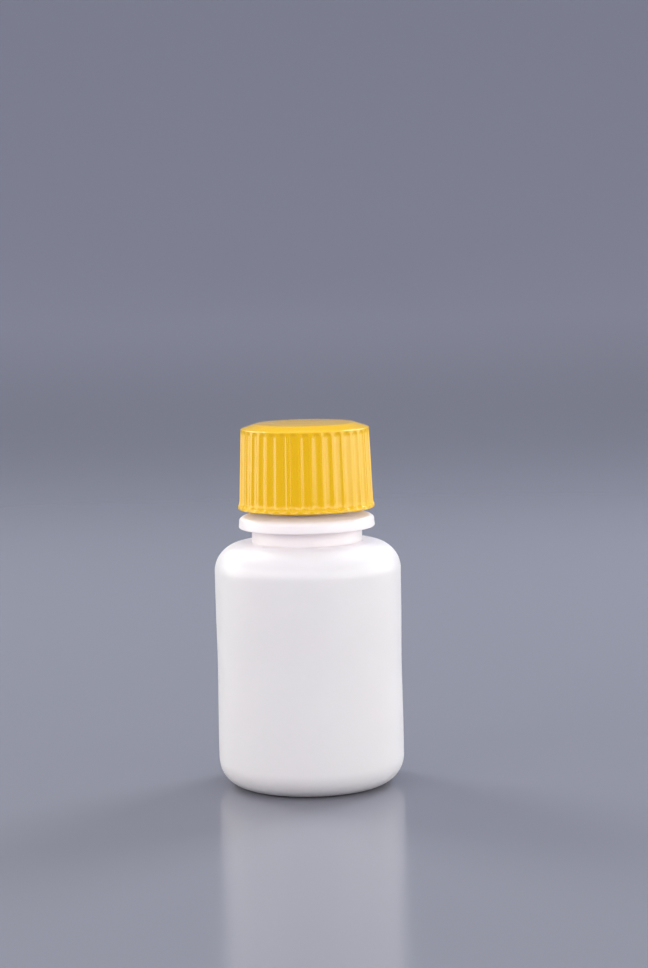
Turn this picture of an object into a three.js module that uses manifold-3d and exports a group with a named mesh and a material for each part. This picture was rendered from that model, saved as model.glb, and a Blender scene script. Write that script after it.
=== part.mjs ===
// Reagent bottle of about thirty millilitres: a blow-moulded polyethylene bottle with a collared,
// threaded neck, a fluted screw cap, and the loose sealing disc that the cap presses on the mouth.
// Millimetres, +Z up, the foot stands on z = 0 and every piece is centred on the Z axis.
import * as THREE from "three";
import { mergeVertices } from "three/addons/utils/BufferGeometryUtils.js";
import Module from "manifold-3d";

const wasm = await Module();
wasm.setup();

// Bottle body
const bodyRadius = 17; // at the foot and at the top of the side wall
const waistDepth = 0.13; // the side wall shrinks in this far at mid height
const waistFocus = 4; // power that keeps the waist away from the heel and the shoulder
const bodyWall = 1.1;
const baseWall = 1.3;
const heelRadius = 4.9;
const standingWidth = 1.5; // flat ring that touches the table
const pushUpHeight = 1.2; // how far the base is domed up inside that ring
const gateRadius = 0.9; // stub of the moulding gate, in the middle of the base
const gateDrop = 0.35;

// Bottle shoulder and visible neck
const sideTop = 39.5; // height where the side wall ends
const shoulderReach = 5; // half axes of the shoulder's rounded edge
const shoulderRise = 5.15;
const shoulderSlope = THREE.MathUtils.degToRad(11.3);
const shoulderLand = 2.4; // level ring round the foot of the neck
const neckStep = 0.65; // the visible neck is this much wider than the threaded one
const neckLength = 2.74;
const neckFillet = 0.3;

// Collar round the neck
const collarReach = 3.02; // it stands out this far from the threaded neck
const collarDraft = 0.11; // its side leans in this far towards the top
const collarSide = 1.4;
const collarCrown = 0.97; // rise of the rounded upper face
const collarEdge = 0.15; // rounding of the lower edge
const collarFillet = 0.9; // between the upper face and the threaded neck

// Threaded neck above the collar
const finishRadius = 9.4; // at the root of the thread
const finishHeight = 13.7;
const finishWall = 1.1;
const lipRounding = 0.4;
const threadPitch = 3.175;
const threadDepth = 0.9;
const threadBase = 1.7; // width of a thread ridge at its root
const threadCrest = 0.6; // and at its crest
const neckThreadTurns = 2.5;
const neckThreadDrop = 1.9; // from the lip down to the top end of the ridge

// Sealing disc
const linerThickness = 1;
const linerEdge = 0.15; // broken edge of the punched disc
const seatGap = 0.3; // between the disc and the lip, and between the disc and the cap

// Cap
const capFootGap = 1.13; // from the collar's top to the cap's foot
const capTopWall = 1.3;
const capWall = 1.15; // at the top of the side, between two flutes
const capDraft = 0.5; // the side leans out this far from there down to the flare
const rimReach = 0.25; // the plain rim at the foot stands out this far past the side
const rimHeight = 0.65;
const rimRounding = 0.15;
const flareHeight = 1.3; // the rim sweeps into the side over this height
const crownWidth = 2.6; // bevelled crown, between the side and the flat disc on top
const crownDrop = 0.85; // it falls this far from the disc to the side
const crownRounding = 0.7;
const capThreadTurns = 2.25;
const capThreadInset = 1.7; // from the cap's foot up to the low end of its ridge
const mouthChamfer = 0.4; // lead-in inside the cap's foot
const beadReach = 0.7; // bead that keeps the sealing disc in the cap
const beadHeight = 0.5;
const beadSlope = 0.3;

// Flutes of the cap
const fluteCount = 36;
const fluteDepth = 0.25;
const fluteWidth = 1.5; // across the opening of one flute
const fluteTopMargin = 0.25; // below the edge between the side and the crown
const closedTurn = -0.25; // degrees, where the cap stops when its thread is tight

// Fits
const threadPlay = 0.25; // radial, between a crest and the facing wall
const flankPlay = 0.3; // axial, between the flanks that carry the cap's pull
const discPlay = 0.35; // round the edge of the sealing disc
const beadPlay = 0.3; // below the sealing disc

// Facets and joins
const bottleSides = 48;
const capSides = 72;
const linerSides = 48;
const fluteSides = 16;
const fluteEndSteps = 3;
const outerArcSteps = 5;
const innerArcSteps = 3;
const edgeArcSteps = 2;
const sideSteps = 4;
const runOutTurns = 0.2; // over which a thread ridge rises from the wall
const overrun = 0.2; // how far a joined or cutting body reaches past the surface
const weld = 1e-3;

// Heights and radii that follow from the sizes above
const footRadius = bodyRadius - heelRadius;
const ringInner = footRadius - standingWidth;
const shoulderCentre = bodyRadius - shoulderReach;
const neckRadius = finishRadius + neckStep;
const landRadius = neckRadius + shoulderLand;
const mouthRadius = finishRadius - finishWall;
const collarRadius = finishRadius + collarReach;
const shoulderEnd = slopeStart(shoulderReach, shoulderRise);
const shoulderTop = slopeHeight(shoulderEnd, landRadius);
const collarBase = shoulderTop + neckLength;
const collarCrownBase = collarBase + collarSide;
const collarTop = collarCrownBase + collarCrown;
const lip = collarTop + finishHeight;
const discBase = lip + seatGap;
const discTop = discBase + linerThickness;
const capCeiling = discTop + seatGap;
const capTop = capCeiling + capTopWall;
const capFoot = collarTop + capFootGap;
const capBore = finishRadius + threadDepth + threadPlay;
const skirtTopRadius = capBore + capWall;
const skirtFootRadius = skirtTopRadius + capDraft;
const rimRadius = skirtFootRadius + rimReach;
const crownRadius = skirtTopRadius - crownWidth;
const skirtFoot = capFoot + rimHeight + flareHeight;
const neckThreadTop = lip - neckThreadDrop;
const neckThreadLow = neckThreadTop - neckThreadTurns * threadPitch;
const beadTop = discBase - beadPlay;

// The cap's ridge hangs below the neck's, with the flanks that carry its pull flankPlay apart
const ridgeTaper = (threadBase - threadCrest) / threadDepth;
const capThreadDatum = neckThreadLow - threadBase + (ridgeTaper * (capBore - finishRadius)) / 2 - flankPlay;
const capThreadLead = (capFoot + capThreadInset - capThreadDatum) / threadPitch;

// Point on the shoulder's rounded edge where it has come down to the slope towards the neck
function slopeStart(reach, rise) {
  const angle = Math.atan(rise / (reach * Math.tan(shoulderSlope)));
  return new THREE.Vector2(
    shoulderCentre + reach * Math.cos(angle),
    sideTop + rise * Math.sin(angle),
  );
}

// Height of the shoulder's slope at a radius
function slopeHeight(start, radius) {
  return start.y + (start.x - radius) * Math.tan(shoulderSlope);
}

function point(radius, height) {
  return new THREE.Vector2(radius, height);
}

// Points of an arc or elliptical arc in the plane of radius and height, angles in degrees
function arc(centre, reach, rise, from, to, steps) {
  const [start, end] = [from, to].map(THREE.MathUtils.degToRad);
  const curve = new THREE.EllipseCurve(centre.x, centre.y, reach, rise, start, end, end < start);
  return curve.getPoints(steps);
}

// A three.js geometry as a solid that can be joined and cut
function solidOf(geometry) {
  const bare = geometry.clone();
  bare.deleteAttribute("normal");
  bare.deleteAttribute("uv");
  const merged = mergeVertices(bare, weld);
  const triVerts = new Uint32Array(merged.index.array);
  const vertProperties = merged.attributes.position.array;
  return new wasm.Manifold(new wasm.Mesh({ numProp: 3, vertProperties, triVerts }));
}

// A solid turned about Z from an outline that starts and ends on the axis
function turned(outline, sides) {
  const clean = outline.filter((p, i) => i === 0 || p.distanceTo(outline[i - 1]) > weld);
  return solidOf(new THREE.LatheGeometry(clean, sides).rotateX(Math.PI / 2));
}

// A named mesh from a solid
function meshOf(name, solid, material) {
  const { vertProperties, triVerts } = solid.getMesh();
  const geometry = new THREE.BufferGeometry();
  geometry.setAttribute("position", new THREE.BufferAttribute(new Float32Array(vertProperties), 3));
  geometry.setIndex(new THREE.BufferAttribute(new Uint32Array(triVerts), 1));
  geometry.computeVertexNormals();
  const mesh = new THREE.Mesh(geometry, material);
  mesh.name = name;
  return mesh;
}

// Outline of the side wall, which shrinks in at mid height; inset moves it inwards
function sideWall(inset) {
  const points = [];
  for (let i = 0; i <= sideSteps; i++) {
    const share = i / sideSteps;
    const shrink = waistDepth * Math.sin(Math.PI * share) ** waistFocus;
    points.push(point(bodyRadius - inset - shrink, THREE.MathUtils.lerp(heelRadius, sideTop, share)));
  }
  return points;
}

// Underside: gate stub, domed base, flat standing ring and heel
function baseOutline() {
  const gateEdge = THREE.MathUtils.radToDeg(Math.acos(gateRadius / ringInner));
  return [
    point(0, pushUpHeight - gateDrop),
    point(gateRadius, pushUpHeight - gateDrop),
    ...arc(point(0, 0), ringInner, pushUpHeight, gateEdge, 0, innerArcSteps),
    ...arc(point(footRadius, heelRadius), heelRadius, heelRadius, -90, 0, outerArcSteps),
  ];
}

// Shoulder: rounded edge, shallow slope, level ring and the fillet at the foot of the neck
function shoulderOutline() {
  const end = THREE.MathUtils.radToDeg(
    Math.atan2((shoulderEnd.y - sideTop) / shoulderRise, (shoulderEnd.x - shoulderCentre) / shoulderReach),
  );
  const filletCentre = point(neckRadius + neckFillet, shoulderTop + neckFillet);
  return [
    ...arc(point(shoulderCentre, sideTop), shoulderReach, shoulderRise, 0, end, outerArcSteps),
    point(landRadius, shoulderTop),
    ...arc(filletCentre, neckFillet, neckFillet, -90, -180, edgeArcSteps),
  ];
}

// Collar: flat underside, drafted side, rounded upper face and the fillet up to the threaded neck
function collarOutline() {
  const edgeCentre = point(collarRadius - collarEdge, collarBase + collarEdge);
  const crownCentre = point(finishRadius + collarFillet, collarCrownBase);
  const crownReach = collarRadius - collarDraft - crownCentre.x;
  const filletCentre = point(crownCentre.x, collarTop + collarFillet);
  return [
    point(neckRadius, collarBase),
    ...arc(edgeCentre, collarEdge, collarEdge, -90, 0, edgeArcSteps),
    ...arc(crownCentre, crownReach, collarCrown, 0, 90, outerArcSteps),
    ...arc(filletCentre, collarFillet, collarFillet, -90, -180, edgeArcSteps),
  ];
}

// Lip: outer rounding, flat sealing land and inner rounding
function lipOutline() {
  const outer = point(finishRadius - lipRounding, lip - lipRounding);
  const inner = point(mouthRadius + lipRounding, lip - lipRounding);
  return [
    ...arc(outer, lipRounding, lipRounding, 0, 90, edgeArcSteps),
    ...arc(inner, lipRounding, lipRounding, 90, 180, edgeArcSteps),
  ];
}

// Inside of the bottle, from the mouth down to the middle of the base
function insideOutline() {
  const reach = shoulderReach - bodyWall;
  const rise = shoulderRise - bodyWall;
  const start = slopeStart(reach, rise);
  const end = THREE.MathUtils.radToDeg(
    Math.atan2((start.y - sideTop) / rise, (start.x - shoulderCentre) / reach),
  );
  const heel = heelRadius - bodyWall;
  return [
    point(mouthRadius, slopeHeight(start, landRadius)),
    ...arc(point(shoulderCentre, sideTop), reach, rise, end, 0, innerArcSteps),
    ...sideWall(bodyWall).reverse(),
    ...arc(point(footRadius, heelRadius), heel, heel, 0, -90, innerArcSteps),
    ...arc(point(0, baseWall), ringInner, pushUpHeight, 0, 90, innerArcSteps),
  ];
}

// Helical ridge on a wall of so many sides, rising with the angle as a right-hand thread does, on
// the helix that passes datum at angle zero. It starts lead turns up that helix, on the next corner
// of the wall. A depth above zero stands outwards from the wall, and one below zero inwards.
function threadRidge({ wall, sides, depth, datum, lead, turns }) {
  const first = Math.ceil(lead * sides);
  const rings = Math.round(turns * sides);
  const root = wall - Math.sign(depth) * overrun;
  const sections = [];
  for (let i = 0; i <= rings; i++) {
    const turn = (first + i) / sides;
    const height = datum + turn * threadPitch;
    const angle = 2 * Math.PI * turn;
    const end = Math.min(i, rings - i) / (sides * runOutTurns);
    const rise = Math.sin((Math.min(end, 1) * Math.PI) / 2);
    const crest = wall + depth * rise;
    const halfBase = threadBase / 2;
    const halfCrest = THREE.MathUtils.lerp(threadBase, threadCrest, rise) / 2;
    const outline = [
      [root, -halfBase],
      [wall, -halfBase],
      [crest, -halfCrest],
      [crest, halfCrest],
      [wall, halfBase],
      [root, halfBase],
    ];
    const [x, y] = [Math.cos(angle), Math.sin(angle)];
    sections.push(outline.map(([radius, offset]) => [radius * x, radius * y, height + offset]));
  }
  return loft(sections, depth > 0);
}

// Closed solid through sections of as many corners each, with flat ends
function loft(sections, forwards) {
  const corners = sections[0].length;
  const last = (sections.length - 1) * corners;
  const index = [];
  const face = (a, b, c) => index.push(...(forwards ? [a, b, c] : [a, c, b]));
  for (let start = 0; start < last; start += corners) {
    for (let j = 0; j < corners; j++) {
      const a = start + j;
      const b = start + ((j + 1) % corners);
      face(a, a + corners, b);
      face(b, a + corners, b + corners);
    }
  }
  for (let j = 1; j < corners - 1; j++) {
    face(0, j, j + 1);
    face(last, last + j + 1, last + j);
  }
  const geometry = new THREE.BufferGeometry();
  geometry.setAttribute("position", new THREE.Float32BufferAttribute(sections.flat(2), 3));
  geometry.setIndex(index);
  return solidOf(geometry);
}

// Bottle: base, side wall, shoulder, neck, collar, threaded neck and the hollow inside
function bottle() {
  const shell = turned(
    [
      ...baseOutline(),
      ...sideWall(0),
      ...shoulderOutline(),
      ...collarOutline(),
      ...lipOutline(),
      ...insideOutline(),
    ],
    bottleSides,
  );
  const ridge = threadRidge({
    wall: finishRadius,
    sides: bottleSides,
    depth: threadDepth,
    datum: neckThreadLow,
    lead: 0,
    turns: neckThreadTurns,
  });
  return shell.add(ridge);
}

// Cap before its flutes: rim, flare, drafted side, bevelled crown and flat top
function capOutside() {
  const bevel = Math.atan2(crownDrop, crownWidth);
  const tangent = crownRounding * Math.tan((Math.PI / 2 - bevel) / 2);
  const crownCentre = point(skirtTopRadius - crownRounding, capTop - crownDrop - tangent);
  const rimCentre = point(rimRadius - rimRounding, capFoot + rimRounding);
  const bevelAngle = THREE.MathUtils.radToDeg(Math.PI / 2 - bevel);
  return [
    ...arc(rimCentre, rimRounding, rimRounding, -90, 0, edgeArcSteps),
    ...arc(point(rimRadius, skirtFoot), rimReach, flareHeight, -90, -180, edgeArcSteps),
    ...arc(crownCentre, crownRounding, crownRounding, 0, bevelAngle, edgeArcSteps),
    point(crownRadius, capTop),
    point(0, capTop),
  ];
}

// Inside of the cap, from the middle of its ceiling down: bead for the sealing disc, bore, lead-in
function capInside() {
  return [
    point(0, capCeiling),
    point(capBore, capCeiling),
    point(capBore, beadTop),
    point(capBore - beadReach, beadTop - beadSlope),
    point(capBore - beadReach, beadTop - beadSlope - beadHeight),
    point(capBore, beadTop - 2 * beadSlope - beadHeight),
    point(capBore, capFoot + mouthChamfer),
    point(capBore + mouthChamfer, capFoot),
  ];
}

// Round-ended cutter of one flute, leaning with the draft of the side
function fluteCutter() {
  const radius = (fluteWidth ** 2 / 4 + fluteDepth ** 2) / (2 * fluteDepth);
  const low = capFoot + rimHeight;
  const high = capTop - crownDrop - fluteTopMargin;
  const lean = Math.atan2(capDraft, high - low);
  const endRise = Math.sqrt(radius ** 2 - (radius - fluteDepth) ** 2);
  const capsule = new THREE.CapsuleGeometry(radius, high - low - 2 * endRise, fluteEndSteps, fluteSides);
  capsule.rotateX(Math.PI / 2);
  capsule.rotateY(-lean);
  const middleRadius = (skirtFootRadius + skirtTopRadius) / 2;
  capsule.translate(middleRadius - fluteDepth + radius, 0, (low + high) / 2);
  return solidOf(capsule);
}

// Cap: fluted shell with its bore, the bead for the sealing disc and the inner thread
function cap() {
  let shell = turned([...capInside(), ...capOutside()], capSides);
  const cutter = fluteCutter();
  for (let i = 0; i < fluteCount; i++) {
    shell = shell.subtract(cutter.rotate([0, 0, (360 * i) / fluteCount]));
  }
  const ridge = threadRidge({
    wall: capBore,
    sides: capSides,
    depth: finishRadius + threadPlay - capBore,
    datum: capThreadDatum,
    lead: capThreadLead,
    turns: capThreadTurns,
  });
  return shell.add(ridge).rotate([0, 0, closedTurn]);
}

// Sealing disc that lies loose between the mouth of the bottle and the cap
function liner() {
  const edge = capBore - discPlay;
  return turned(
    [
      point(0, discBase),
      point(edge - linerEdge, discBase),
      point(edge, discBase + linerEdge),
      point(edge, discTop - linerEdge),
      point(edge - linerEdge, discTop),
      point(0, discTop),
    ],
    linerSides,
  );
}

const naturalPolyethylene = new THREE.MeshStandardMaterial({
  color: 0xece3e2,
  roughness: 0.42,
  metalness: 0,
});
const yellowPolypropylene = new THREE.MeshStandardMaterial({
  color: 0xf3bd16,
  roughness: 0.34,
  metalness: 0,
});
const foamedPolyethylene = new THREE.MeshStandardMaterial({
  color: 0xf4f2ee,
  roughness: 0.85,
  metalness: 0,
});

const group = new THREE.Group();
group.add(meshOf("bottle", bottle(), naturalPolyethylene));
group.add(meshOf("liner", liner(), foamedPolyethylene));
group.add(meshOf("cap", cap(), yellowPolypropylene));

export default group;
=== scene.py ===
# Reagent bottle with a fluted screw cap: its fine surfaces, finishes, studio light and camera
import math
import bmesh
import bpy
from mathutils import Matrix, Vector, noise


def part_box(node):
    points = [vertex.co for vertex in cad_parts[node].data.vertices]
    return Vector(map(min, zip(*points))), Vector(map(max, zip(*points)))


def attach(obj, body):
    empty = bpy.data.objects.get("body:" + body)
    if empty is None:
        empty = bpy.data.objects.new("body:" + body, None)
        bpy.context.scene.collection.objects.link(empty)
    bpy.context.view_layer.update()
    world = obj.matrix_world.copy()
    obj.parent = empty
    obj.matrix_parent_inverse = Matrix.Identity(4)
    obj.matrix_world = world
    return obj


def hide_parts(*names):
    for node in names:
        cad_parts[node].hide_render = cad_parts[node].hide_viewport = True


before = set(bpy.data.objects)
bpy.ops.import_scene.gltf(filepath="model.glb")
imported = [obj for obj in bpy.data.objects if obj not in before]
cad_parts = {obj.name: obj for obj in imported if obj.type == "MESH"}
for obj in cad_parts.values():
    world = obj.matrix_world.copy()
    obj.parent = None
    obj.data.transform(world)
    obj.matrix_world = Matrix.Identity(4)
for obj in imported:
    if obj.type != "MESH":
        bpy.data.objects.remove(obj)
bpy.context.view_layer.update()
print("frame loaded")

mm = 0.001  # sizes below are in millimetres, and everything in the scene is in metres
chord = 0.35  # straight pieces of a rounding are about this long
coarseTurn, fineTurn = math.radians(15), math.radians(2.5)  # and turn by no more or less than this
sameSpot = 0.001 * mm  # points nearer than this become one


# Places that the frame gives
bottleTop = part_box("bottle")[1] / mm
discFoot, discTop = (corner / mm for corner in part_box("liner"))
capFoot, capTop = (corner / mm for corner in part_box("cap"))

# Screw closure, shared by the neck and the cap
thread = {
    "pitch": 3.175,
    "depth": 0.9,
    "base": 1.7,  # width of a ridge at its root
    "crest": 0.6,
    "crestRounding": 0.18,
    "crestSteps": 3,
    "radialPlay": 0.25,
    "flankPlay": 0.3,
    "runOutTurns": 0.2,  # over which a ridge sinks into the wall
    "sunk": 0.3,  # how far a ridge is rooted in the wall
    "endSunk": 0.05,  # how far its crest lies under the wall where it has run out
    "steps": 96,  # of one turn
}


def roundingSteps(turn, radius):
    return math.ceil(turn / min(coarseTurn, max(fineTurn, chord / radius)))


def pointsOfArc(centre, reach, rise, start, end):
    # points of an elliptical arc in the plane of radius and height, with its angles in degrees
    steps = roundingSteps(math.radians(abs(end - start)), max(reach, rise))
    angles = [math.radians(start + (end - start) * i / steps) for i in range(steps + 1)]
    return [(centre[0] + reach * math.cos(a), centre[1] + rise * math.sin(a)) for a in angles]


def roundCorner(bm, corner, radius):
    # an arc in place of a corner between two straight pieces of an outline
    before, after = [edge.other_vert(corner).co - corner.co for edge in corner.link_edges]
    turn = math.pi - before.angle(after)
    bmesh.ops.bevel(
        bm, geom=[corner], offset=radius * mm * math.tan(turn / 2), offset_type="OFFSET",
        segments=roundingSteps(turn, radius), profile=0.5, affect="VERTICES", material=-1,
    )


def drawOutline(bm, outline, layer=None):
    # a line through points given as radius, height and, at a rounded corner, its rounding
    known = set(bm.verts)
    corners = [bm.verts.new((point[0] * mm, 0, point[1] * mm)) for point in outline]
    for start, end in zip(corners, corners[1:]):
        bm.edges.new((start, end))
    for corner, point in zip(corners, outline):
        if len(point) > 2:
            roundCorner(bm, corner, point[2])
    if layer:
        for vert in set(bm.verts) - known:
            vert[layer] = 1


def spinOutline(bm, sweeps):
    # the outline turned about the axis in sweeps of so many degrees and steps, which add up to a turn
    bmesh.ops.remove_doubles(bm, verts=bm.verts[:], dist=sameSpot)
    last = bm.verts[:] + bm.edges[:]
    for degrees, steps in sweeps:
        spun = bmesh.ops.spin(
            bm, geom=last, cent=(0, 0, 0), axis=(0, 0, 1), dvec=(0, 0, 0), angle=math.radians(degrees),
            steps=steps, use_merge=degrees == 360, use_normal_flip=False, use_duplicate=False,
        )
        last = spun["geom_last"]
    bmesh.ops.remove_doubles(bm, verts=bm.verts[:], dist=sameSpot)
    bmesh.ops.recalc_face_normals(bm, faces=bm.faces[:])


def pieceOf(bm, name, sharpFrom=35):
    mesh = bpy.data.meshes.new(name)
    bm.to_mesh(mesh)
    bm.free()
    mesh.shade_smooth()
    mesh.set_sharp_from_angle(angle=math.radians(sharpFrom))
    piece = bpy.data.objects.new(name, mesh)
    bpy.context.scene.collection.objects.link(piece)
    return piece


def fuse(piece, ridge):
    # the ridge becomes one body with the piece
    union = piece.modifiers.new("union", "BOOLEAN")
    union.operation = "UNION"
    union.solver = "MANIFOLD"
    union.object = ridge
    shape = piece.evaluated_get(bpy.context.evaluated_depsgraph_get())
    fused = bpy.data.meshes.new_from_object(shape)
    piece.modifiers.clear()
    piece.data = fused
    bpy.data.objects.remove(ridge)


def threadRidge(wall, depth, datum, lead, turns):
    # helical ridge on a wall; a depth below zero stands inwards, as inside the cap
    side = math.copysign(1, depth)
    root = wall - side * thread["sunk"]
    crest = wall + depth
    halfBase, halfCrest = thread["base"] / 2, thread["crest"] / 2
    section = [
        (root, -halfBase), (wall, -halfBase), (crest, -halfCrest),
        (crest, halfCrest), (wall, halfBase), (root, halfBase),
    ]
    bm = bmesh.new()
    corners = [bm.verts.new((radius * mm, 0, height * mm)) for radius, height in section]
    bm.faces.new(corners)
    bmesh.ops.bevel(
        bm, geom=corners[2:4], offset=thread["crestRounding"] * mm, offset_type="OFFSET",
        segments=thread["crestSteps"], profile=0.5, affect="VERTICES", material=-1,
    )
    steps = round(turns * thread["steps"])
    bmesh.ops.spin(
        bm, geom=bm.verts[:] + bm.edges[:] + bm.faces[:], cent=(0, 0, 0), axis=(0, 0, 1),
        dvec=(0, 0, thread["pitch"] / thread["steps"] * mm), angle=steps / thread["steps"] * 2 * math.pi,
        steps=steps, use_merge=False, use_normal_flip=False, use_duplicate=False,
    )
    sunkShare = (thread["sunk"] - thread["endSunk"]) / (thread["sunk"] + abs(depth))
    for vert in bm.verts:
        radius = vert.co.xy.length / mm
        angleTurn = math.atan2(vert.co.y, vert.co.x) / (2 * math.pi)
        turn = round(vert.co.z / mm / thread["pitch"] - angleTurn) + angleTurn
        end = min(1, max(0, min(turn, turns - turn)) / thread["runOutTurns"])
        share = sunkShare + (1 - sunkShare) * math.sin(end * math.pi / 2)
        vert.co.xy *= (root + (radius - root) * share) / radius
    place = Matrix.Translation((0, 0, (datum + lead * thread["pitch"]) * mm))
    bmesh.ops.transform(bm, matrix=place @ Matrix.Rotation(lead * 2 * math.pi, 4, "Z"), verts=bm.verts[:])
    bmesh.ops.recalc_face_normals(bm, faces=bm.faces[:])
    return pieceOf(bm, "threadRidge")


# Bottle: blow-moulded base, side wall, shoulder, neck and collar, and the threaded neck
bottle = {
    "bodyRadius": bottleTop.x,
    "lip": bottleTop.z,
    "waistDepth": 0.13,  # the side wall shrinks in at mid height
    "waistFocus": 4,
    "wall": 1.1,
    "baseWall": 1.3,
    "heel": 4.9,
    "standingWidth": 1.5,
    "pushUp": 1.2,  # the base is domed up inside its standing ring
    "gateRadius": 0.9,
    "gateDrop": 0.35,
    "sideTop": 39.5,
    "shoulderReach": 5,
    "shoulderRise": 5.15,
    "shoulderSlope": math.radians(11.3),
    "shoulderLand": 2.4,  # level ring round the foot of the neck
    "landEdge": 1.5,
    "neckRadius": 10.05,
    "neckLength": 2.74,
    "neckFillet": 0.3,
    "collarRadius": 12.42,
    "collarDraft": 0.11,
    "collarSide": 1.4,
    "collarCrown": 0.97,
    "collarEdge": 0.15,
    "collarFillet": 0.9,
    "rampStart": 62,  # degrees round the collar's upper face, where a ramp up to the thread begins
    "rampRise": 0.75,
    "rampBlend": 1,
    "innerFillet": 0.2,
    "finishRadius": 9.4,
    "mouthRadius": 8.3,
    "lipRounding": 0.4,
    "threadTurns": 2.5,
    "threadDrop": 1.9,  # from the lip down to the top end of the ridge
    "sideSteps": 30,
    "seamWidth": 0.14,  # mould parting line, on the two sides
    "seamHeight": 0.035,
    "seamSweep": 2,  # degrees of closely spaced columns round it
    "seamSteps": 8,
    "columns": 144,
    "waveDepth": 0.05,  # slow unevenness that blowing leaves in the wall
    "waveLength": 14,
    "trueNeck": 0.1,  # the waves keep this far off the threaded neck
    "trueFoot": 0.01,  # and off the surface that the bottle stands on
}


def slopeStart(reach, rise):
    # where the shoulder's rounded edge has come down to the slope towards the neck
    angle = math.atan(rise / (reach * math.tan(bottle["shoulderSlope"])))
    centre = bottle["bodyRadius"] - bottle["shoulderReach"]
    return angle, centre + reach * math.cos(angle), bottle["sideTop"] + rise * math.sin(angle)


def slopeHeight(reach, rise, radius):
    # height of the shoulder's slope at a radius
    _, startRadius, startHeight = slopeStart(reach, rise)
    return startHeight + (startRadius - radius) * math.tan(bottle["shoulderSlope"])


def sideWall(inset):
    # the side, a little waisted, from the heel up to the shoulder
    points = []
    for i in range(bottle["sideSteps"] + 1):
        share = i / bottle["sideSteps"]
        shrink = bottle["waistDepth"] * math.sin(math.pi * share) ** bottle["waistFocus"]
        height = bottle["heel"] + (bottle["sideTop"] - bottle["heel"]) * share
        points.append((bottle["bodyRadius"] - inset - shrink, height))
    return points


def bottleOutside():
    b = bottle
    foot = b["bodyRadius"] - b["heel"]
    ring = foot - b["standingWidth"]
    gateEdge = math.degrees(math.acos(b["gateRadius"] / ring))
    reach, rise = b["shoulderReach"], b["shoulderRise"]
    shoulderEnd = math.degrees(slopeStart(reach, rise)[0])
    land = b["neckRadius"] + b["shoulderLand"]
    neckFoot = slopeHeight(reach, rise, land)
    collarBase = neckFoot + b["neckLength"]
    crownBase = collarBase + b["collarSide"]
    crownTop = crownBase + b["collarCrown"]
    crownEnd = b["finishRadius"] + b["collarFillet"]
    crownReach = b["collarRadius"] - b["collarDraft"] - crownEnd
    crown = pointsOfArc((crownEnd, crownBase), crownReach, b["collarCrown"], 0, b["rampStart"])
    gateFoot = b["pushUp"] - b["gateDrop"]
    return [
        (0, gateFoot),
        (b["gateRadius"], gateFoot, b["innerFillet"]),
        *pointsOfArc((0, 0), ring, b["pushUp"], gateEdge, 0),
        *pointsOfArc((foot, b["heel"]), b["heel"], b["heel"], -90, 0)[:-1],
        *sideWall(0)[:-1],
        *pointsOfArc((b["bodyRadius"] - reach, b["sideTop"]), reach, rise, 0, shoulderEnd),
        (land, neckFoot, b["landEdge"]),
        (b["neckRadius"], neckFoot, b["neckFillet"]),
        (b["neckRadius"], collarBase, b["innerFillet"]),
        (b["collarRadius"], collarBase, b["collarEdge"]),
        *crown[:-1],
        (*crown[-1], b["rampBlend"]),
        (b["finishRadius"], crownTop + b["rampRise"], b["innerFillet"]),
        (b["finishRadius"], b["lip"], b["lipRounding"]),
        ((b["finishRadius"] + b["mouthRadius"]) / 2, b["lip"]),
    ]


def bottleInside():
    b = bottle
    foot = b["bodyRadius"] - b["heel"]
    ring = foot - b["standingWidth"]
    reach, rise = b["shoulderReach"] - b["wall"], b["shoulderRise"] - b["wall"]
    shoulderEnd = math.degrees(slopeStart(reach, rise)[0])
    heel = b["heel"] - b["wall"]
    return [
        ((b["finishRadius"] + b["mouthRadius"]) / 2, b["lip"]),
        (b["mouthRadius"], b["lip"], b["lipRounding"]),
        (b["mouthRadius"], slopeHeight(reach, rise, b["neckRadius"] + b["shoulderLand"]), b["neckFillet"]),
        *pointsOfArc((b["bodyRadius"] - b["shoulderReach"], b["sideTop"]), reach, rise, shoulderEnd, 0),
        *sideWall(b["wall"])[::-1][1:],
        *pointsOfArc((foot, b["heel"]), heel, heel, 0, -90)[1:],
        *pointsOfArc((0, b["baseWall"]), ring, b["pushUp"], 0, 90),
    ]


def unevenWall(bm, outside):
    # slow waves over the blown wall, and the parting line standing a little proud of it
    b = bottle
    for vert in bm.verts:
        radius, height = vert.co.xy.length / mm, vert.co.z / mm
        if not vert[outside] or radius < b["finishRadius"] + b["trueNeck"] or height < b["trueFoot"]:
            continue
        seam = math.exp(-((vert.co.y / mm / b["seamWidth"]) ** 2)) * min(1, height / b["heel"])
        wave = 0.5 + 0.5 * noise.noise(vert.co / (b["waveLength"] * mm))
        shrink = b["seamHeight"] * (1 - seam) + b["waveDepth"] * wave * (1 - seam)
        vert.co.xy *= (radius - shrink) / radius


def makeBottle():
    bm = bmesh.new()
    outside = bm.verts.layers.float.new("outside")
    drawOutline(bm, bottleOutside(), outside)
    drawOutline(bm, bottleInside())
    halfSeam = Matrix.Rotation(-math.radians(bottle["seamSweep"] / 2), 4, "Z")
    bmesh.ops.transform(bm, matrix=halfSeam, verts=bm.verts[:])
    halfTurn = [
        (bottle["seamSweep"], bottle["seamSteps"]),
        (180 - bottle["seamSweep"], bottle["columns"] // 2),
    ]
    spinOutline(bm, halfTurn * 2)
    unevenWall(bm, outside)
    piece = pieceOf(bm, "bottleShell")
    ridge = threadRidge(bottle["finishRadius"], thread["depth"], neckThreadLow, 0, bottle["threadTurns"])
    fuse(piece, ridge)
    return piece


neckThreadLow = bottle["lip"] - bottle["threadDrop"] - bottle["threadTurns"] * thread["pitch"]
bottleShell = makeBottle()
print("bottle made:", len(bottleShell.data.polygons), "faces")


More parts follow.
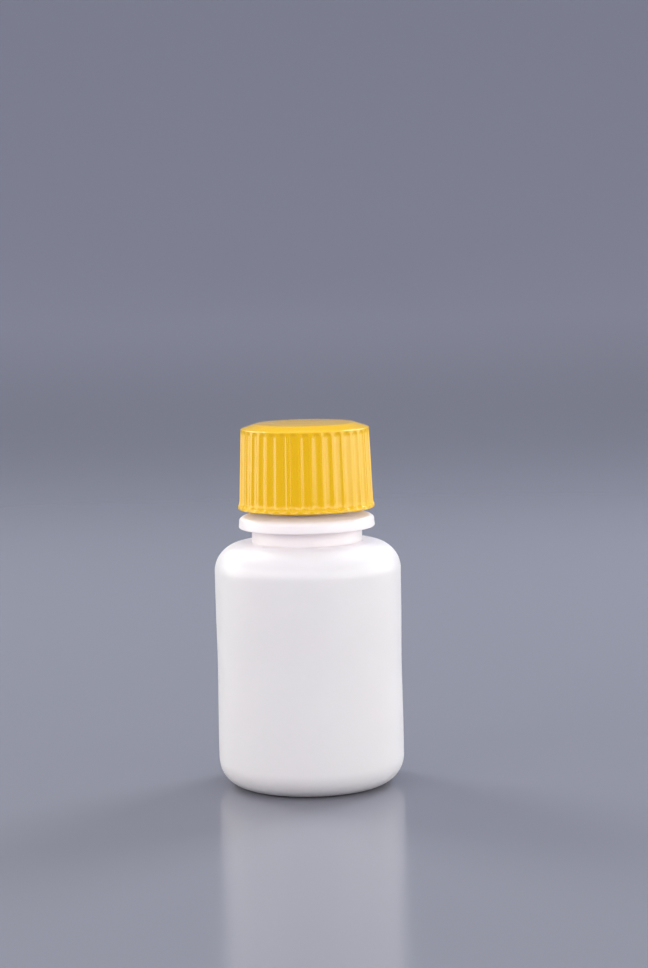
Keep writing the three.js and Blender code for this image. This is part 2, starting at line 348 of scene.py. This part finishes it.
# Cap: plain rim, fluted side with a draft, bevelled crown, flat top, and the thread inside
cap = {
    "foot": capFoot.z,
    "top": capTop.z,
    "rimRadius": capTop.x,
    "bore": bottle["finishRadius"] + thread["depth"] + thread["radialPlay"],
    "ceilingPlay": 0.3,  # from the sealing disc up to the cap's ceiling
    "ceilingFillet": 0.25,
    "rimReach": 0.25,
    "rimHeight": 0.65,
    "rimRounding": 0.15,
    "flareHeight": 1.3,
    "flareTurn": 68,  # degrees of the hollow between the rim and the side
    "softEdge": 0.08,
    "draft": 0.5,
    "crownWidth": 2.6,
    "crownDrop": 0.85,
    "crownRounding": 0.7,
    "discEdge": 0.15,  # soft edge round the flat disc on top
    "mouthChamfer": 0.4,
    "mouthRounding": 0.15,
    "beadReach": 0.7,
    "beadHeight": 0.5,
    "beadSlope": 0.3,
    "beadPlay": 0.3,
    "beadRounding": 0.15,
    "beadFillet": 0.1,
    "threadTurns": 2.25,
    "threadInset": 1.7,
    "fluteCount": 36,
    "fluteDepth": 0.25,
    "fluteWidth": 1.5,
    "fluteTopMargin": 0.25,
    "fluteSoftness": 0.05,  # rounds the crests between the flutes
    "fluteColumns": 20,
    "middleRows": 5,
    "endRows": 14,  # closely spaced rows at the upper end of the flutes
    "endReach": 1.2,  # times the flute's radius, the band of those rows below the end
    "endMargin": 0.1,  # and above it
    "outsideMargin": 0.2,  # beyond the mouth's chamfer, where the flutes may cut
    "closedTurn": math.radians(-0.25),  # where the cap stops when its thread is tight
}
cap["ceiling"] = discTop.z + cap["ceilingPlay"]
cap["sideFoot"] = cap["rimRadius"] - cap["rimReach"]
cap["sideTop"] = cap["sideFoot"] - cap["draft"]
cap["fluteLow"] = cap["foot"] + cap["rimHeight"]
cap["fluteHigh"] = cap["top"] - cap["crownDrop"] - cap["fluteTopMargin"]
cap["fluteRadius"] = (cap["fluteWidth"] ** 2 / 4 + cap["fluteDepth"] ** 2) / (2 * cap["fluteDepth"])


def spread(low, high, steps):
    return [low + (high - low) * i / steps for i in range(steps + 1)]


def leaningRadius(height, low, high):
    # the cap's side leans in by its draft from one height to another
    return cap["sideFoot"] - cap["draft"] * (height - low) / (high - low)


def capOutline():
    c = cap
    flareTop = c["fluteLow"] + c["flareHeight"]
    crownFoot = c["top"] - c["crownDrop"]
    flareStart = (c["rimRadius"], flareTop)
    flare = pointsOfArc(flareStart, c["rimReach"], c["flareHeight"], c["flareTurn"] - 180, -180)
    endBand = c["fluteHigh"] - c["endReach"] * c["fluteRadius"]
    rows = spread(flareTop, endBand, c["middleRows"])[1:-1]
    rows += spread(endBand, c["fluteHigh"] + c["endMargin"], c["endRows"])
    beadTop = discFoot.z - c["beadPlay"]
    beadCrest = c["bore"] - c["beadReach"]
    return [
        (0, c["top"]),
        (c["sideTop"] - c["crownWidth"], c["top"], c["discEdge"]),
        (c["sideTop"], c["top"] - c["crownDrop"], c["crownRounding"]),
        *[(leaningRadius(height, flareTop, crownFoot), height) for height in rows[::-1]],
        *flare[::-1],
        (c["rimRadius"], c["fluteLow"], c["softEdge"]),
        (c["rimRadius"], c["foot"], c["rimRounding"]),
        (c["bore"] + c["mouthChamfer"], c["foot"], c["softEdge"]),
        (c["bore"], c["foot"] + c["mouthChamfer"], c["mouthRounding"]),
        (c["bore"], beadTop - 2 * c["beadSlope"] - c["beadHeight"], c["beadFillet"]),
        (beadCrest, beadTop - c["beadSlope"] - c["beadHeight"], c["beadRounding"]),
        (beadCrest, beadTop - c["beadSlope"], c["beadRounding"]),
        (c["bore"], beadTop, c["beadFillet"]),
        (c["bore"], c["ceiling"], c["ceilingFillet"]),
        (0, c["ceiling"]),
    ]


def cutFlute(bm, pitchAngle):
    # a round-ended hollow leaning with the side: each column moves to an even spacing along the
    # fluted outline, and each point in to the surface of the round tool that shaped the flute
    c = cap
    spacing = pitchAngle * (c["sideFoot"] + c["sideTop"]) / 2
    radius = c["fluteRadius"]
    hollowArc = radius * math.asin(c["fluteWidth"] / 2 / radius)
    halfCrest = spacing / 2 - c["fluteWidth"] / 2
    endRise = math.sqrt(radius ** 2 - (radius - c["fluteDepth"]) ** 2)
    for vert in bm.verts:
        distance, height = vert.co.xy.length / mm, vert.co.z / mm
        if distance < c["bore"] / 2:
            continue
        turn = math.atan2(vert.co.y, vert.co.x) / pitchAngle
        along = abs(turn) * 2 * (hollowArc + halfCrest)
        across = radius * math.sin(min(along, hollowArc) / radius) + max(0, along - hollowArc)
        angle = math.copysign(across / spacing, turn) * pitchAngle
        if distance > c["bore"] + c["mouthChamfer"] + c["outsideMargin"]:
            beyond = max(0, c["fluteLow"] + endRise - height, height - c["fluteHigh"] + endRise)
            reach = math.hypot(across, beyond)
            tool = leaningRadius(height, c["fluteLow"], c["fluteHigh"]) - c["fluteDepth"] + radius
            surface = tool - math.sqrt(max(0, radius ** 2 - reach ** 2)) + 2 * max(0, reach - radius)
            gap = distance - surface
            distance = (distance + surface - math.hypot(gap, c["fluteSoftness"])) / 2
        vert.co.xy = Vector((math.cos(angle), math.sin(angle))) * distance * mm


def makeCap():
    # one flute's share of the cap, repeated round the axis
    bm = bmesh.new()
    drawOutline(bm, capOutline())
    pitchAngle = 2 * math.pi / cap["fluteCount"]
    bmesh.ops.transform(bm, matrix=Matrix.Rotation(-pitchAngle / 2, 4, "Z"), verts=bm.verts[:])
    spinOutline(bm, [(math.degrees(pitchAngle), cap["fluteColumns"])])
    cutFlute(bm, pitchAngle)
    bmesh.ops.spin(
        bm, geom=bm.verts[:] + bm.edges[:] + bm.faces[:], cent=(0, 0, 0), axis=(0, 0, 1), dvec=(0, 0, 0),
        angle=2 * math.pi - pitchAngle, steps=cap["fluteCount"] - 1, use_merge=False,
        use_normal_flip=False, use_duplicate=True,
    )
    bmesh.ops.remove_doubles(bm, verts=bm.verts[:], dist=sameSpot)
    bmesh.ops.recalc_face_normals(bm, faces=bm.faces[:])
    piece = pieceOf(bm, "screwCap")
    taper = (thread["base"] - thread["crest"]) / thread["depth"]
    halfMesh = taper * (cap["bore"] - bottle["finishRadius"]) / 2
    datum = neckThreadLow - thread["base"] + halfMesh - thread["flankPlay"]
    lead = (cap["foot"] + cap["threadInset"] - datum) / thread["pitch"]
    depth = bottle["finishRadius"] + thread["radialPlay"] - cap["bore"]
    ridge = threadRidge(cap["bore"], depth, datum, lead, cap["threadTurns"])
    fuse(piece, ridge)
    piece.data.transform(Matrix.Rotation(cap["closedTurn"], 4, "Z"))
    return piece


screwCap = makeCap()
print("cap made:", len(screwCap.data.polygons), "faces")


# Sealing disc: punched from foam sheet with a dense skin, with the print of the lip in its lower face
disc = {
    "radius": discTop.x,
    "foot": discFoot.z,
    "top": discTop.z,
    "edge": 0.15,
    "printDepth": 0.06,
    "printEdge": 0.12,
    "printRounding": 0.1,
    "columns": 128,
}


def makeDisc():
    d = disc
    printTop = d["foot"] + d["printDepth"]
    outline = [
        (0, d["foot"]),
        (bottle["mouthRadius"] - d["printEdge"], d["foot"], d["printRounding"]),
        (bottle["mouthRadius"] + d["printEdge"], printTop, d["printRounding"]),
        (bottle["finishRadius"] - d["printEdge"], printTop, d["printRounding"]),
        (bottle["finishRadius"] + d["printEdge"], d["foot"], d["printRounding"]),
        (d["radius"], d["foot"], d["edge"]),
        (d["radius"], d["top"], d["edge"]),
        (0, d["top"]),
    ]
    bm = bmesh.new()
    drawOutline(bm, outline)
    spinOutline(bm, [(360, d["columns"])])
    return pieceOf(bm, "sealingDisc")


sealingDisc = makeDisc()
print("sealing disc made:", len(sealingDisc.data.polygons), "faces")


# Finishes
def linear(hexColour):
    # an sRGB hex value as the linear colour that a socket takes
    parts = [int(hexColour[i:i + 2], 16) / 255 for i in (1, 3, 5)]
    return [c / 12.92 if c <= 0.04045 else ((c + 0.055) / 1.055) ** 2.4 for c in parts] + [1]


def perMetre(size):
    # the scale of a pattern whose features are so many millimetres across
    return 1 / (size * mm)


def setInputs(node, inputs):
    # each input is a value or the output of another node
    for key, value in inputs.items():
        if isinstance(value, bpy.types.NodeSocket):
            node.id_data.links.new(value, node.inputs[key])
        else:
            node.inputs[key].default_value = value


def addNode(tree, kind, settings, inputs):
    node = tree.nodes.new(kind)
    for key, value in settings.items():
        setattr(node, key, value)
    setInputs(node, inputs)
    return node


def newFinish(name):
    finish = bpy.data.materials.new(name)
    finish.use_nodes = True
    tree = finish.node_tree
    place = tree.nodes.new("ShaderNodeTexCoord").outputs["Object"]
    return finish, tree, tree.nodes["Principled BSDF"], place


def naturalPolyethylene():
    # unpigmented high-density polyethylene, blown in a blasted mould: milky and satin, and light
    # glows in its wall
    finish, tree, shader, place = newFinish("naturalPolyethyleneBlown")
    cloud = addNode(tree, "ShaderNodeTexNoise", {}, {
        "Vector": place, "Scale": perMetre(11), "Detail": 2.0})
    milk = addNode(tree, "ShaderNodeMix", {"data_type": "RGBA"}, {
        "Factor": cloud.outputs["Fac"], 6: linear("#F5EDEF"), 7: linear("#FAF3F5")})
    grain = addNode(tree, "ShaderNodeTexNoise", {}, {
        "Vector": place, "Scale": perMetre(0.5), "Detail": 3.0})
    peel = addNode(tree, "ShaderNodeTexNoise", {}, {
        "Vector": place, "Scale": perMetre(3.5), "Detail": 1.0})
    satin = addNode(tree, "ShaderNodeMapRange", {}, {
        "Value": peel.outputs["Fac"], "To Min": 0.27, "To Max": 0.35})
    slow = addNode(tree, "ShaderNodeBump", {}, {
        "Height": peel.outputs["Fac"], "Distance": 0.008 * mm, "Strength": 1.0})
    fine = addNode(tree, "ShaderNodeBump", {}, {
        "Height": grain.outputs["Fac"], "Distance": 0.002 * mm, "Strength": 1.0,
        "Normal": slow.outputs["Normal"]})
    setInputs(shader, {
        "Base Color": milk.outputs[2],
        "Roughness": satin.outputs["Result"],
        "IOR": 1.54,
        "Subsurface Weight": 1.0,
        "Subsurface Radius": (1.0, 0.94, 0.9),
        "Subsurface Scale": 2 * mm,
        "Normal": fine.outputs["Normal"],
    })
    return finish


def yellowPolypropylene():
    # pigmented polypropylene, injection-moulded: opaque and glossy, with a faint orange peel
    finish, tree, shader, place = newFinish("yellowPolypropyleneMoulded")
    streak = addNode(tree, "ShaderNodeTexNoise", {}, {
        "Vector": place, "Scale": perMetre(6), "Detail": 3.0})
    pigment = addNode(tree, "ShaderNodeMix", {"data_type": "RGBA"}, {
        "Factor": streak.outputs["Fac"], 6: linear("#EEBD0E"), 7: linear("#F2C114")})
    peel = addNode(tree, "ShaderNodeTexNoise", {}, {
        "Vector": place, "Scale": perMetre(0.8), "Detail": 2.0})
    gloss = addNode(tree, "ShaderNodeMapRange", {}, {
        "Value": streak.outputs["Fac"], "To Min": 0.09, "To Max": 0.14})
    skin = addNode(tree, "ShaderNodeBump", {}, {
        "Height": peel.outputs["Fac"], "Distance": 0.002 * mm, "Strength": 1.0})
    setInputs(shader, {
        "Base Color": pigment.outputs[2],
        "Roughness": gloss.outputs["Result"],
        "IOR": 1.5,
        "Subsurface Weight": 0.15,
        "Subsurface Radius": (1.0, 0.55, 0.12),
        "Subsurface Scale": 0.7 * mm,
        "Normal": skin.outputs["Normal"],
    })
    return finish


def foamedPolyethylene():
    # closed-cell polyethylene foam between two dense skins: matt white, fine cells
    finish, tree, shader, place = newFinish("foamedPolyethyleneSheet")
    cells = addNode(tree, "ShaderNodeTexVoronoi", {}, {"Vector": place, "Scale": perMetre(0.3)})
    tone = addNode(tree, "ShaderNodeMix", {"data_type": "RGBA"}, {
        "Factor": cells.outputs["Distance"], 6: linear("#F5F3EF"), 7: linear("#E9E6E0")})
    skin = addNode(tree, "ShaderNodeBump", {}, {
        "Height": cells.outputs["Distance"], "Distance": 0.02 * mm, "Strength": 0.6})
    setInputs(shader, {
        "Base Color": tone.outputs[2],
        "Roughness": 0.8,
        "IOR": 1.5,
        "Subsurface Weight": 0.2,
        "Subsurface Radius": (1.0, 1.0, 1.0),
        "Subsurface Scale": 0.5 * mm,
        "Normal": skin.outputs["Normal"],
    })
    return finish


for piece, body, node, slot, finish in [
    (bottleShell, "bottle", "bottle", "natural_polyethylene", naturalPolyethylene()),
    (screwCap, "cap", "cap", "yellow_polypropylene", yellowPolypropylene()),
    (sealingDisc, "liner", "liner", "foamed_polyethylene", foamedPolyethylene()),
]:
    piece.data.materials.clear()
    piece.data.materials.append(finish)
    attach(piece, body)
    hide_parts(node)
print("finishes given")


# Stage: a pale floor that curves up all round into a wall painted paler, as painted light that makes up for
# the softboxes' light falling off on it, in a ring of softboxes
stage = {
    "radius": 2400,
    "bend": 1900,
    "height": 2200,
    "drop": 0.02,  # below the foot, so that no two faces share a plane
    "columns": 96,
    "colour": "#80828C",
    # the wall's paler colour is painted light: it brightens the wall, which the softboxes light less than
    # the floor
    "wallColourWithPaintedLight": "#A8AAB6",
    "wallFrom": 60,  # height at which the floor's colour has become the wall's
    "roughness": 0.16,
    "refraction": 1.25,  # low, so that the floor mirrors little of the softboxes
    "lightDistance": 620,
}
# turn: degrees from the viewer round to the right; rise: degrees up; sizes in millimetres
softboxes = {
    "left": {"turn": -100, "rise": 11, "width": 540, "height": 309, "watts": 1.40, "colour": "#FFFCF0"},
    "frontLeft": {"turn": -50, "rise": 20, "width": 460, "height": 309, "watts": 1.35, "colour": "#FFF8EE"},
    "front": {"turn": 0, "rise": 22, "width": 460, "height": 280, "watts": 0.95, "colour": "#FFFAFF"},
    "frontRight": {"turn": 50, "rise": 13, "width": 540, "height": 309, "watts": 1.55, "colour": "#FFFCF0"},
    "right": {"turn": 100, "rise": 11, "width": 540, "height": 309, "watts": 1.50, "colour": "#FFF9F0"},
    "backLeft": {"turn": -138, "rise": 39, "width": 214, "height": 309, "watts": 1.80, "colour": "#FFFFF8"},
    "backRight": {"turn": 138, "rise": 39, "width": 214, "height": 309, "watts": 2.15, "colour": "#F2FAFF"},
}
sky = {"colour": "#ECEDFA", "strength": 0.85}


def makeStage():
    bm = bmesh.new()
    low = -stage["drop"]
    drawOutline(bm, [(0, low), (stage["radius"], low, stage["bend"]), (stage["radius"], stage["height"])])
    spinOutline(bm, [(360, stage["columns"])])
    floor = pieceOf(bm, "floor")
    finish, tree, shader, place = newFinish("paleFloor")
    height = addNode(tree, "ShaderNodeSeparateXYZ", {}, {"Vector": place})
    share = addNode(tree, "ShaderNodeMapRange", {"interpolation_type": "SMOOTHSTEP"}, {
        "Value": height.outputs["Z"], "From Max": stage["wallFrom"] * mm})
    # painted light: the floor's colour grades with height into the paler wall colour, which stands in for
    # light on the wall
    tone = addNode(tree, "ShaderNodeMix", {"data_type": "RGBA"}, {
        "Factor": share.outputs["Result"], 6: linear(stage["colour"]), 7: linear(stage["wallColourWithPaintedLight"])})
    setInputs(shader, {
        "Base Color": tone.outputs[2], "Roughness": stage["roughness"], "IOR": stage["refraction"]})
    floor.data.materials.append(finish)


def makeLight(name, box):
    # a rectangle of soft light that faces the bottle's middle
    turn, rise = math.radians(box["turn"]), math.radians(box["rise"])
    away = Vector((math.sin(turn) * math.cos(rise), -math.cos(turn) * math.cos(rise), math.sin(rise)))
    light = bpy.data.lights.new(name, "AREA")
    light.shape = "RECTANGLE"
    light.size, light.size_y = box["width"] * mm, box["height"] * mm
    light.energy = box["watts"]
    light.color = linear(box["colour"])[:3]
    lamp = bpy.data.objects.new(name, light)
    lamp.location = away * stage["lightDistance"] * mm + Vector((0, 0, cap["top"] / 2 * mm))
    lamp.rotation_euler = (-away).to_track_quat("-Z", "Y").to_euler()
    lamp.visible_camera = False
    bpy.context.scene.collection.objects.link(lamp)


def makeSky():
    world = bpy.data.worlds.new("studio")
    world.use_nodes = True
    background = world.node_tree.nodes["Background"]
    background.inputs["Color"].default_value = linear(sky["colour"])
    background.inputs["Strength"].default_value = sky["strength"]
    bpy.context.scene.world = world


makeStage()
for name, box in softboxes.items():
    makeLight(name + "Softbox", box)
makeSky()
bpy.context.scene.view_settings.view_transform = "Standard"
print("stage lit")

# Camera: the photograph's view, worked out from the outlines of the foot, shoulder, collar and cap
view = {
    "distance": 430.68,
    "height": 98.35,
    "pitch": math.radians(5.735),
    "yaw": math.radians(0.438),
    "roll": math.radians(-1.2035),
    "lens": 88.3,
    "sensor": 36,
}


def makeCamera():
    camera = bpy.data.cameras.new("camera")
    camera.lens = view["lens"]
    camera.sensor_width = view["sensor"]
    camera.clip_start, camera.clip_end = 0.01, 10
    holder = bpy.data.objects.new("camera", camera)
    aim = Matrix.Rotation(-view["yaw"], 4, "Z") @ Matrix.Rotation(math.pi / 2 - view["pitch"], 4, "X")
    holder.matrix_world = (
        Matrix.Translation((0, -view["distance"] * mm, view["height"] * mm))
        @ aim @ Matrix.Rotation(view["roll"], 4, "Z")
    )
    bpy.context.scene.collection.objects.link(holder)
    bpy.context.scene.camera = holder


makeCamera()
